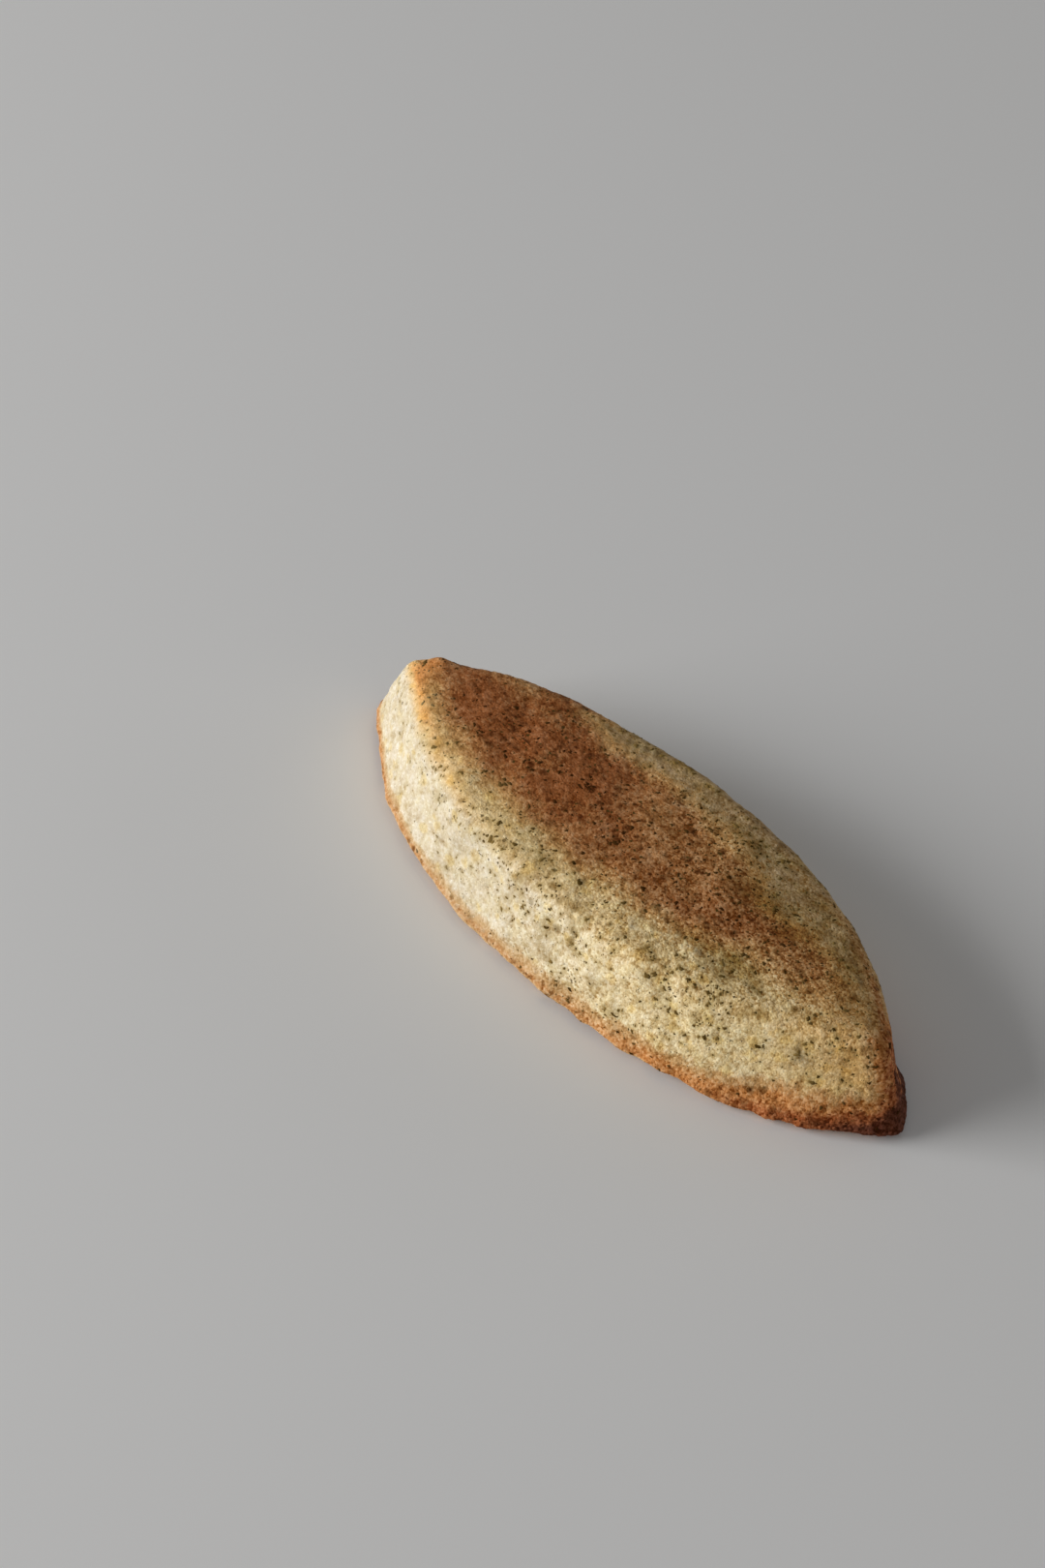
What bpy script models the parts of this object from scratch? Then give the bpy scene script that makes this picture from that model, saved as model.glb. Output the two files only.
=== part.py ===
"""Financier cake: one boat-shaped almond cake, turned out and resting on its wide baked face."""
import bpy
import bmesh
import numpy as np

# Driving dimensions, metres. X runs from the far tip to the near tip, Z is up.
RIM_LENGTH = 0.1000
RIM_WIDTH = 0.0396
RIM_HEIGHT = 0.0013
CREASE_RISE = 0.0125
SIDE_INSET = 0.00327
FAR_TIP_INSET = 0.00580
NEAR_TIP_INSET = 0.00730
CREASE_RADIUS = 0.0028
CROWN_RISE = 0.0011
FOOT_INSET = 0.0060
LIP_DEPTH = 0.0005
LIP_RADIUS = 0.0006
SIDE_HOLLOW = 0.00022

# Plan outlines: power of the lens curve and how softly its tips are rounded.
RIM_POWER = 2.613
RIM_SOFTNESS = 0.097
TOP_POWER = 2.427
TOP_SOFTNESS = 0.108

# Uneven places that show on the baked cake.
LEAN_SHIFT = 0.0011
DIP_DEPTH = 0.0009
DIP_CENTRE = -0.0160
DIP_SPREAD = 0.0120
KNOB_HEIGHT = 0.0007
KNOB_SPREAD = 0.0016
KNOB_CENTRE = (-0.0422, 0.0024, 0.0141)
BROAD_WAVE = 0.0150
BROAD_HEIGHT = 0.00012
CRUMB_WAVE = 0.0060
CRUMB_HEIGHT = 0.00007
RIM_WAVE = 0.0040
RIM_LUMP_HEIGHT = 0.00011
LIP_REACH = 0.0007

# Swells of the front rim: where along the length, how far out, how wide.
FRONT_SWELLS = (
    (-0.0455, -0.00030, 0.0040),
    (-0.0325, -0.00050, 0.0025),
    (-0.0270, -0.00028, 0.0028),
    (-0.0160, 0.00022, 0.0050),
    (0.0165, -0.00045, 0.0032),
    (0.0240, -0.00062, 0.0035),
    (0.0360, 0.00045, 0.0035),
)

# Mesh density: points around, and rings along each stretch of the section.
AROUND = 136
FOOT_RINGS = 2
CURL_RINGS = 4
LIP_RINGS = 4
SIDE_RINGS = 5
CREASE_RINGS = 6
CROWN_RINGS = 9

CRUMB_COLOUR = (0.60, 0.44, 0.24, 1.0)


def clear_scene():
    """Remove whatever the new file holds."""
    for item in list(bpy.data.objects):
        bpy.data.objects.remove(item, do_unlink=True)


def lens_ratio(along, power, softness):
    """Half width of the lens, 0 at the tips and 1 in the middle."""
    gap = 1.0 - np.abs(along) ** power
    top = np.sqrt(1.0 + 2.0 * softness)
    return np.sqrt(np.maximum(gap * gap + 2.0 * softness * gap, 0.0)) / top


def even_stations(count):
    """Positions along the length at equal steps of the rim, with the side they lie on."""
    angle = np.linspace(0.0, np.pi, 4001)
    along = np.cos(angle)
    across = lens_ratio(along, RIM_POWER, RIM_SOFTNESS)
    steps = np.hypot(np.diff(along) * RIM_LENGTH, np.diff(across) * RIM_WIDTH)
    reach = np.concatenate([[0.0], np.cumsum(steps)])
    half = count // 2
    even = np.interp(np.linspace(0.0, reach[-1], half + 1), reach, along)
    even[0] = 1.0
    even[-1] = -1.0
    stations = np.concatenate([even, even[-2:0:-1]])
    sides = np.concatenate([np.ones(half + 1), -np.ones(half - 1)])
    sides[0] = 0.0
    sides[half] = 0.0
    return stations, sides


def crease_corner():
    """Fillet between the steep side and the low crown, as its arc and the crown's start."""
    half = RIM_WIDTH / 2.0
    side_angle = np.arctan2(CREASE_RISE, SIDE_INSET)
    crown_slope = 2.0 * CROWN_RISE / (half - SIDE_INSET)
    turn = side_angle - np.arctan(crown_slope)
    tangent = CREASE_RADIUS * np.tan(turn / 2.0)
    start_inset = SIDE_INSET - tangent * np.cos(side_angle)
    start_rise = CREASE_RISE - tangent * np.sin(side_angle)
    centre_inset = start_inset + CREASE_RADIUS * np.sin(side_angle)
    centre_rise = start_rise - CREASE_RADIUS * np.cos(side_angle)
    angles = side_angle - np.linspace(0.0, turn, CREASE_RINGS + 1)
    arc_inset = centre_inset - CREASE_RADIUS * np.sin(angles)
    arc_rise = centre_rise + CREASE_RADIUS * np.cos(angles)
    return arc_inset, arc_rise, crown_slope


def section():
    """Inset and height of every ring, from the middle of the foot to the crown."""
    half = RIM_WIDTH / 2.0
    inset = list(np.linspace(half, FOOT_INSET, FOOT_RINGS + 1))
    height = [0.0] * (FOOT_RINGS + 1)
    low = np.radians(-75.0)
    high = np.radians(60.0)
    curl_end = LIP_DEPTH * (1.0 - np.cos(low))
    curl_top = RIM_HEIGHT + LIP_RADIUS * np.sin(low)
    for step in np.linspace(0.0, 1.0, CURL_RINGS + 1)[1:]:
        inset.append(FOOT_INSET + (curl_end - FOOT_INSET) * step)
        height.append(curl_top * step ** 1.8)
    for angle in np.linspace(low, high, LIP_RINGS + 1)[1:]:
        inset.append(LIP_DEPTH * (1.0 - np.cos(angle)))
        height.append(RIM_HEIGHT + LIP_RADIUS * np.sin(angle))
    arc_inset, arc_rise, crown_slope = crease_corner()
    start_inset = inset[-1]
    start_height = height[-1]
    end_height = RIM_HEIGHT + arc_rise[0]
    for step in np.linspace(0.0, 1.0, SIDE_RINGS + 2)[1:-1]:
        hollow = SIDE_HOLLOW * np.sin(np.pi * step ** 0.7)
        inset.append(start_inset + (arc_inset[0] - start_inset) * step + hollow)
        height.append(start_height + (end_height - start_height) * step)
    inset.extend(arc_inset)
    height.extend(RIM_HEIGHT + arc_rise)
    reach = half - arc_inset[-1]
    gain = crown_slope * reach / 2.0
    for step in np.linspace(0.0, 1.0, CROWN_RINGS + 1)[1:]:
        inset.append(arc_inset[-1] + reach * step)
        height.append(RIM_HEIGHT + arc_rise[-1] + gain * (1.0 - (1.0 - step) ** 2))
    return np.array(inset), np.array(height)


def smooth_step(value):
    """Ease from 0 to 1."""
    held = np.clip(value, 0.0, 1.0)
    return held * held * (3.0 - 2.0 * held)


def shaped_grid():
    """Grid of surface points, ring by ring, before the crumb is made uneven."""
    stations, sides = even_stations(AROUND)
    inset, height = section()
    half = RIM_WIDTH / 2.0
    rim = lens_ratio(stations, RIM_POWER, RIM_SOFTNESS)
    top = lens_ratio(stations, TOP_POWER, TOP_SOFTNESS)
    blend_end = smooth_step(stations / 0.6 + 0.5)
    tip_rate = (FAR_TIP_INSET + (NEAR_TIP_INSET - FAR_TIP_INSET) * blend_end) / SIDE_INSET
    rows = []
    for ring_inset, ring_height in zip(inset, height):
        share = min(ring_inset / SIDE_INSET, 1.0)
        rise = smooth_step(np.array((ring_height - RIM_HEIGHT) / CREASE_RISE))
        ratio = rim + (top - rim) * share
        held_back = (tip_rate - 1.0) * LIP_REACH * (1.0 - np.exp(-ring_inset / LIP_REACH))
        x = stations * (RIM_LENGTH / 2.0 - tip_rate * ring_inset + held_back)
        inner = 1.0 - ring_inset / half
        y = sides * ratio * (half - ring_inset)
        lean = LEAN_SHIFT * smooth_step((stations - 0.30) / 0.35) * (1.0 - stations ** 8)
        dip = DIP_DEPTH * np.exp(-((x - DIP_CENTRE) / DIP_SPREAD) ** 2) * (sides > 0.0)
        lean = lean * np.where(sides > 0.0, 0.5, 1.0)
        y = y + rise * inner * (lean - dip) * np.abs(sides)
        z = np.full_like(x, ring_height)
        rows.append(np.stack([x, y, z], axis=1))
    return np.array(rows), inset, height


def waves(points, length, seed, count=16):
    """Smooth unevenness of about unit size: plane waves of one length in seeded directions."""
    random = np.random.default_rng(seed)
    total = np.zeros(points.shape[:-1])
    for _ in range(count):
        direction = random.normal(size=3)
        direction = direction / np.linalg.norm(direction)
        number = 2.0 * np.pi / (length * random.uniform(0.8, 1.3))
        total += np.sin(number * (points @ direction) + random.uniform(0.0, 2.0 * np.pi))
    return total / np.sqrt(count / 2.0)


def outward(grid):
    """Unit directions pointing out of the cake at every grid point."""
    round_way = np.roll(grid, -1, axis=1) - np.roll(grid, 1, axis=1)
    up_way = np.gradient(grid, axis=0)
    normal = np.cross(round_way, up_way)
    size = np.linalg.norm(normal, axis=2, keepdims=True)
    return normal / np.maximum(size, 1e-12)


def baked_grid():
    """Grid with the broad unevenness, the lumpy rim and the knob of crust at the far tip."""
    grid, inset, height = shaped_grid()
    direction = outward(grid)
    flat_foot = (height <= 1e-9)[:, None]
    middle = (inset >= RIM_WIDTH / 2.0 - 1e-9)[:, None]
    push = BROAD_HEIGHT * waves(grid, BROAD_WAVE, 11)
    push = push + CRUMB_HEIGHT * waves(grid, CRUMB_WAVE, 12)
    near_rim = np.exp(-((grid[:, :, 2] - RIM_HEIGHT) / 0.0018) ** 2)
    ragged = 0.55 + 0.45 * smooth_step(grid[:, :, 0] / RIM_LENGTH + 0.5)
    push = push + near_rim * ragged * RIM_LUMP_HEIGHT * waves(grid, RIM_WAVE, 13)
    front = smooth_step(-grid[:, :, 1] / 0.004)
    for centre, reach, spread in FRONT_SWELLS:
        swell = np.exp(-((grid[:, :, 0] - centre) / spread) ** 2)
        push = push + near_rim * front * reach * swell
    away = np.linalg.norm(grid - np.array(KNOB_CENTRE), axis=2)
    push = push + KNOB_HEIGHT * np.exp(-(away / KNOB_SPREAD) ** 2)
    foot_side = height < RIM_HEIGHT
    fade = np.where(foot_side, smooth_step((FOOT_INSET - inset) / 0.0040), 1.0)
    push = push * fade[:, None]
    moved = grid + direction * push[:, :, None]
    top_middle = middle & ~flat_foot
    straight = grid + np.array([0.0, 0.0, 1.0]) * push[:, :, None]
    moved = np.where(top_middle[:, :, None], straight, moved)
    moved[:, :, 2] = np.where(flat_foot, 0.0, np.maximum(moved[:, :, 2], 0.00002))
    return moved


def make_cake():
    """Build the cake as one closed solid."""
    grid = baked_grid()
    rings, count, _ = grid.shape
    ring_index = np.arange(rings - 1)[:, None] * count
    here = np.arange(count)[None, :]
    there = (here + 1) % count
    quads = np.stack(
        [
            ring_index + here,
            ring_index + there,
            ring_index + count + there,
            ring_index + count + here,
        ],
        axis=-1,
    ).reshape(-1, 4)
    mesh = bpy.data.meshes.new("financier_cake")
    mesh.from_pydata(grid.reshape(-1, 3).tolist(), [], quads.tolist())
    body = bmesh.new()
    body.from_mesh(mesh)
    bmesh.ops.remove_doubles(body, verts=body.verts, dist=2e-6)
    bmesh.ops.triangulate(body, faces=body.faces)
    bmesh.ops.recalc_face_normals(body, faces=body.faces)
    body.to_mesh(mesh)
    body.free()
    cake = bpy.data.objects.new("financier_cake", mesh)
    bpy.context.collection.objects.link(cake)
    return cake


def colour(item):
    """Give the cake its own pale crumb material."""
    material = bpy.data.materials.new("almond_crumb")
    material.use_nodes = True
    shader = material.node_tree.nodes["Principled BSDF"]
    shader.inputs["Base Color"].default_value = CRUMB_COLOUR
    shader.inputs["Roughness"].default_value = 0.85
    shader.inputs["Metallic"].default_value = 0.0
    item.data.materials.append(material)


clear_scene()
colour(make_cake())
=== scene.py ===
"""Looks of one boat-shaped financier: pale almond crumb, browned face, dark rim and tea flecks.

The cake lies on its wide baked face with the narrow browned face up. Every length is in metres. X runs
from the far tip to the near tip, the front side faces -Y, and Z is up. In the masks, climb is the
distance up the surface from the rim, and the corner of the upper face is at a climb of about 0.014.
"""

from __future__ import annotations

import logging
import math
from dataclasses import dataclass, field
from enum import Enum

import bpy
import numpy as np
from mathutils import Matrix, Vector

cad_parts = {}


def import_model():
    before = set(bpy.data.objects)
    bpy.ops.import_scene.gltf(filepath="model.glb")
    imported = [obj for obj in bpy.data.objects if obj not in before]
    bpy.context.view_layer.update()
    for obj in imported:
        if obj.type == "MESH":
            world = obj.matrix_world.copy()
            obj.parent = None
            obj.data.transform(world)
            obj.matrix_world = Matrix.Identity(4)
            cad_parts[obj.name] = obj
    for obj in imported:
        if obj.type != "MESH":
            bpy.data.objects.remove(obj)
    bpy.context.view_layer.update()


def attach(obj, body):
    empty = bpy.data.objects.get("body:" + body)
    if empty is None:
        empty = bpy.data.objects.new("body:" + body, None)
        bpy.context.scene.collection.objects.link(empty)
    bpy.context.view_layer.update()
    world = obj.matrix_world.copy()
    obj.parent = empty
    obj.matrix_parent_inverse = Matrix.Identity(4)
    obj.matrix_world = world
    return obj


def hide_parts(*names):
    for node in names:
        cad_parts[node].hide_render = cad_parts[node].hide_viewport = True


LOG = logging.getLogger("financier")
Number = np.ndarray | float
Colour = tuple[float, float, float]
Line = tuple[tuple[float, float], ...]
Swells = tuple[tuple[float, float, int], ...]
Spots = tuple[tuple[float, float, float, float], ...]


def ease(value: Number) -> Number:
    """Smooth step: 3t² - 2t³ on the value held between 0 and 1."""
    held = np.clip(value, 0.0, 1.0)
    return held * held * (3.0 - 2.0 * held)


def rise(value: Number, start: float, stop: float) -> Number:
    """Smooth step from 0 at start to 1 at stop, whichever of the two is the larger."""
    return ease((value - start) / (stop - start))


def bell(away: Number) -> Number:
    """Bell curve exp(-t²): 1 in the middle and 0.37 at a distance of 1."""
    return np.exp(-(away ** 2))


def along(line: Line, x: Number) -> Number:
    """Height at x of the straight runs between points of (place along the length, height)."""
    places, heights = zip(*line)
    return np.interp(x, places, heights)


class Grain:
    """Repeatable unevenness for crumb and crust, all worked out from point coordinates."""

    @staticmethod
    def waves(points: np.ndarray, length: float, seed: int, count: int = 16) -> np.ndarray:
        """Sum of plane sine waves of about one length in seeded directions, of about unit size.

        Args:
            points: (..., 3) places.
            length: wave length.
            seed: which set of directions.
            count: how many waves.

        Returns:
            One height for each point.
        """
        random = np.random.default_rng(seed)
        total = np.zeros(points.shape[:-1])
        for _ in range(count):
            direction = random.normal(size=3)
            direction = direction / np.linalg.norm(direction)
            number = 2.0 * np.pi / (length * random.uniform(0.8, 1.3))
            total += np.sin(number * (points @ direction) + random.uniform(0.0, 2.0 * np.pi))
        return total / np.sqrt(count / 2.0)

    @staticmethod
    def dice(cells: np.ndarray, seed: int) -> np.ndarray:
        """Random number between 0 and 1 for each whole-number cell, from mixed integer products.

        Args:
            cells: (..., 3) whole numbers.
            seed: which set of numbers.

        Returns:
            One number for each cell.
        """
        cell = cells.astype(np.int64)
        mixed = cell[..., 0] * 374761393 + cell[..., 1] * 668265263 + cell[..., 2] * 2246822519
        mixed = (mixed + seed * 3266489917) & 0xFFFFFFFF
        mixed = ((mixed ^ (mixed >> 15)) * 2246822519) & 0xFFFFFFFF
        mixed = ((mixed ^ (mixed >> 13)) * 3266489917) & 0xFFFFFFFF
        return ((mixed ^ (mixed >> 16)) & 0xFFFFFF) / float(0x1000000)

    @classmethod
    def swell(cls, points: np.ndarray, size: float, seed: int) -> np.ndarray:
        """Value noise: a random height at each corner of a cube lattice, eased between corners.

        Args:
            points: (..., 3) places.
            size: edge of a lattice cube.
            seed: which set of heights.

        Returns:
            Heights between -1 and 1.
        """
        scaled = points / size + 0.37 * seed
        cell = np.floor(scaled)
        part = ease(scaled - cell)
        total = np.zeros(points.shape[:-1])
        for corner in np.ndindex(2, 2, 2):
            step = np.array(corner)
            weight = np.prod(np.where(step == 1, part, 1.0 - part), axis=-1)
            total += weight * cls.dice(cell + step, seed)
        return 2.0 * total - 1.0

    @classmethod
    def mixed(cls, points: np.ndarray, parts: Swells) -> np.ndarray:
        """Sum of swells, each of a given height, size and seed."""
        return sum(height * cls.swell(points, size, seed) for height, size, seed in parts)

    @classmethod
    def cells(cls, points: np.ndarray, size: float, seed: int) -> tuple[np.ndarray, np.ndarray]:
        """Cellular noise: one random heart in each lattice cube, and the nearest heart to each place.

        Args:
            points: (..., 3) places.
            size: edge of a lattice cube.
            seed: which set of hearts.

        Returns:
            Distance to the nearest heart in cube edges, and that heart's own random number.
        """
        scaled = points / size
        home = np.floor(scaled)
        best = np.full(points.shape[:-1], 9.0)
        owner = np.zeros(points.shape[:-1])
        for corner in np.ndindex(3, 3, 3):
            cell = home + np.array(corner) - 1.0
            jitter = np.stack([cls.dice(cell, seed + k) for k in range(3)], axis=-1)
            away = np.linalg.norm(cell + jitter - scaled, axis=-1)
            nearer = away < best
            best = np.where(nearer, away, best)
            owner = np.where(nearer, cls.dice(cell, seed + 7), owner)
        return best, owner


@dataclass(frozen=True)
class CakeForm:
    """Sizes of the cake turned out of its boat tin, and its surface as a function of two numbers."""

    rim_length: float = 0.1000
    rim_width: float = 0.0396
    rim_height: float = 0.0013
    crease_rise: float = 0.0125
    side_inset: float = 0.00327
    far_tip_inset: float = 0.00580
    near_tip_inset: float = 0.00730
    tip_blend: float = 0.30
    crease_radius: float = 0.0028
    crown_rise: float = 0.0011
    foot_inset: float = 0.0060
    lip_depth: float = 0.0005
    lip_radius: float = 0.0006
    lip_reach: float = 0.0007
    lip_low: float = math.radians(-75.0)
    lip_high: float = math.radians(60.0)
    curl_power: float = 1.8
    side_hollow: float = 0.00022
    hollow_power: float = 0.7
    rim_power: float = 2.613
    rim_softness: float = 0.097
    top_power: float = 2.427
    top_softness: float = 0.108
    lean_shift: float = 0.0011
    lean_places: tuple[float, float] = (0.30, 0.65)
    lean_behind: float = 0.5
    dip_depth: float = 0.0009
    dip_centre: float = -0.0160
    dip_spread: float = 0.0120
    rim_samples: int = 4001
    around: int = 760
    foot_rings: int = 5
    curl_rings: int = 9
    lip_rings: int = 8
    side_rings: int = 40
    crease_rings: int = 12
    crown_rings: int = 50

    @property
    def rim_ring(self) -> int:
        """Number of the widest ring, halfway round the lip."""
        return self.foot_rings + self.curl_rings + self.lip_rings // 2 + 1

    def lens(self, place: np.ndarray, power: float, softness: float) -> np.ndarray:
        """Half width of the lens outline: g = 1 - |u|^power, then sqrt(g² + 2·softness·g) scaled to 1.

        Args:
            place: place along the length, -1 at the far tip and 1 at the near tip.
            power: how full the outline is.
            softness: how round the tips are.

        Returns:
            0 at the tips and 1 in the middle.
        """
        gap = 1.0 - np.abs(place) ** power
        full = math.sqrt(1.0 + 2.0 * softness)
        return np.sqrt(np.maximum(gap * gap + 2.0 * softness * gap, 0.0)) / full

    def stations(self) -> tuple[np.ndarray, np.ndarray]:
        """Places round the rim at equal steps of its length.

        Returns:
            Place along the length, and the side: 1 behind, -1 in front, 0 at the tips.
        """
        place = np.cos(np.linspace(0.0, np.pi, self.rim_samples))
        across = self.lens(place, self.rim_power, self.rim_softness)
        steps = np.hypot(np.diff(place) * self.rim_length, np.diff(across) * self.rim_width)
        reach = np.concatenate([[0.0], np.cumsum(steps)])
        half = self.around // 2
        even = np.interp(np.linspace(0.0, reach[-1], half + 1), reach, place)
        even[0], even[-1] = 1.0, -1.0
        sides = np.concatenate([np.ones(half + 1), -np.ones(half - 1)])
        sides[0] = sides[half] = 0.0
        return np.concatenate([even, even[-2:0:-1]]), sides

    def corner(self) -> tuple[np.ndarray, np.ndarray, float]:
        """Fillet arc between the steep side and the low crown, tangent to both.

        Returns:
            Insets and rises along the arc, and the slope at which the crown begins.
        """
        half = self.rim_width / 2.0
        side_angle = math.atan2(self.crease_rise, self.side_inset)
        slope = 2.0 * self.crown_rise / (half - self.side_inset)
        turn = side_angle - math.atan(slope)
        tangent = self.crease_radius * math.tan(turn / 2.0)
        inset = self.side_inset - tangent * math.cos(side_angle)
        lift = self.crease_rise - tangent * math.sin(side_angle)
        inset += self.crease_radius * math.sin(side_angle)
        lift -= self.crease_radius * math.cos(side_angle)
        angles = side_angle - np.linspace(0.0, turn, self.crease_rings + 1)
        return inset - self.crease_radius * np.sin(angles), lift + self.crease_radius * np.cos(angles), slope

    def section(self) -> tuple[np.ndarray, np.ndarray]:
        """Half section from the middle of the foot over the lip, side and corner to the crown.

        The foot is flat, the curl rises as a power of the way out, the lip is an elliptic arc, the
        side is straight with a slight sine hollow, and the crown is a parabola.

        Returns:
            Inset from the rim's outline and height of each ring.
        """
        half = self.rim_width / 2.0
        foot = np.linspace(half, self.foot_inset, self.foot_rings + 1)
        curl_end = self.lip_depth * (1.0 - math.cos(self.lip_low))
        curl_top = self.rim_height + self.lip_radius * math.sin(self.lip_low)
        step = np.linspace(0.0, 1.0, self.curl_rings + 1)[1:]
        curl = self.foot_inset + (curl_end - self.foot_inset) * step
        angle = np.linspace(self.lip_low, self.lip_high, self.lip_rings + 1)[1:]
        lip = self.lip_depth * (1.0 - np.cos(angle))
        lip_height = self.rim_height + self.lip_radius * np.sin(angle)
        arc, arc_rise, slope = self.corner()
        climb = np.linspace(0.0, 1.0, self.side_rings + 2)[1:-1]
        hollow = self.side_hollow * np.sin(np.pi * climb ** self.hollow_power)
        side = lip[-1] + (arc[0] - lip[-1]) * climb + hollow
        side_top = self.rim_height + arc_rise[0]
        side_height = lip_height[-1] + (side_top - lip_height[-1]) * climb
        across = np.linspace(0.0, 1.0, self.crown_rings + 1)[1:]
        reach = half - arc[-1]
        crown_height = arc_rise[-1] + slope * reach / 2.0 * (1.0 - (1.0 - across) ** 2)
        inset = np.concatenate([foot, curl, lip, side, arc, arc[-1] + reach * across])
        height = np.concatenate([
            np.zeros(foot.size), curl_top * step ** self.curl_power, lip_height, side_height,
            self.rim_height + arc_rise, self.rim_height + crown_height,
        ])
        return inset, height

    def surface(self) -> np.ndarray:
        """Smooth cake: each ring is the lens outline drawn in by its inset, at its height.

        Returns:
            (rings, around, 3) points, ring by ring from the foot's middle to the crown's middle.
        """
        place, sides = self.stations()
        inset, height = (part[:, None] for part in self.section())
        half = self.rim_width / 2.0
        rim = self.lens(place, self.rim_power, self.rim_softness)
        top = self.lens(place, self.top_power, self.top_softness)
        near = rise(place, -self.tip_blend, self.tip_blend)
        rate = (self.far_tip_inset + (self.near_tip_inset - self.far_tip_inset) * near) / self.side_inset
        held_back = (rate - 1.0) * self.lip_reach * (1.0 - np.exp(-inset / self.lip_reach))
        x = place * (self.rim_length / 2.0 - rate * inset + held_back)
        ratio = rim + (top - rim) * np.minimum(inset / self.side_inset, 1.0)
        y = sides * ratio * (half - inset)
        lean = self.lean_shift * rise(place, *self.lean_places) * (1.0 - place ** 8)
        lean = lean * np.where(sides > 0.0, self.lean_behind, 1.0)
        dip = self.dip_depth * bell((x - self.dip_centre) / self.dip_spread) * (sides > 0.0)
        up = ease((height - self.rim_height) / self.crease_rise)
        y = y + up * (1.0 - inset / half) * (lean - dip) * np.abs(sides)
        return np.stack([x, y, np.broadcast_to(height, x.shape)], axis=-1)


@dataclass(frozen=True)
class Relief:
    """Heights laid on the smooth cake: broad swells, crumb lumps, pores, the craggy rim and a knob."""

    broad_wave: float = 0.0150
    broad_height: float = 0.00012
    crumb_wave: float = 0.0060
    crumb_height: float = 0.00007
    rim_wave: float = 0.0040
    rim_lump_height: float = 0.00011
    ragged_far: float = 0.55
    ragged_end: float = 0.05
    front_reach: float = 0.004
    knob_height: float = 0.0007
    knob_spread: float = 0.0016
    knob_centre: tuple[float, float, float] = (-0.0422, 0.0024, 0.0141)
    front_swells: tuple[tuple[float, float, float], ...] = (
        (-0.0455, -0.00030, 0.0040),
        (-0.0325, -0.00050, 0.0025),
        (-0.0270, -0.00028, 0.0028),
        (-0.0160, 0.00022, 0.0050),
        (0.0165, -0.00045, 0.0032),
        (0.0240, -0.00062, 0.0035),
        (0.0360, 0.00045, 0.0035),
    )
    lumps: Swells = ((0.000030, 0.0024, 21), (0.000040, 0.0011, 22), (0.000050, 0.0006, 23))
    grain_size: float = 0.00075
    grain_height: float = 0.000085
    pore_size: float = 0.0021
    pore_depth: float = 0.00018
    pore_least: float = 0.10
    pore_spread: float = 0.16
    poreless: float = 0.45
    crag_size: float = 0.0010
    crag_height: float = 0.00022
    grit_size: float = 0.0006
    grit_height: float = 0.00013
    crag_level: float = 0.35

    def swells(self, points: np.ndarray, near_rim: np.ndarray) -> np.ndarray:
        """Heights of the millimetre unevenness that the plain solid has too.

        Args:
            points: (..., 3) places on the smooth cake.
            near_rim: 1 on the rim, falling to 0 away from it.

        Returns:
            Height at each point.
        """
        x, y = points[..., 0], points[..., 1]
        push = self.broad_height * Grain.waves(points, self.broad_wave, 11)
        push += self.crumb_height * Grain.waves(points, self.crumb_wave, 12)
        ragged = self.ragged_far + (1.0 - self.ragged_far) * rise(x, -self.ragged_end, self.ragged_end)
        push += near_rim * ragged * self.rim_lump_height * Grain.waves(points, self.rim_wave, 13)
        front = ease(-y / self.front_reach)
        for centre, reach, spread in self.front_swells:
            push += near_rim * front * reach * bell((x - centre) / spread)
        away = np.linalg.norm(points - np.array(self.knob_centre), axis=-1)
        return push + self.knob_height * bell(away / self.knob_spread)

    def crumb(self, points: np.ndarray, crust: np.ndarray) -> np.ndarray:
        """Heights of the crumb: value noise in three sizes, cell-shaped grains and scattered pores.

        Args:
            points: (..., 3) places on the smooth cake.
            crust: 0 on open crumb, 1 on the craggy browned rim.

        Returns:
            Height at each point.
        """
        push = Grain.mixed(points, self.lumps)
        away, owner = Grain.cells(points, self.grain_size, 31)
        push += self.grain_height * (0.5 - away ** 2) * (0.5 + owner)
        away, owner = Grain.cells(points, self.pore_size, 41)
        wide = self.pore_least + self.pore_spread * Grain.dice(np.stack([owner * 999.0] * 3, axis=-1), 5)
        push -= self.pore_depth * (owner > self.poreless) * bell(away / wide)
        away, owner = Grain.cells(points, self.crag_size, 51)
        push += crust * self.crag_height * (self.crag_level - away ** 2) * (0.3 + owner)
        away, owner = Grain.cells(points, self.grit_size, 55)
        return push + crust * self.grit_height * (self.crag_level - away ** 2) * (0.2 + owner)


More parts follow.
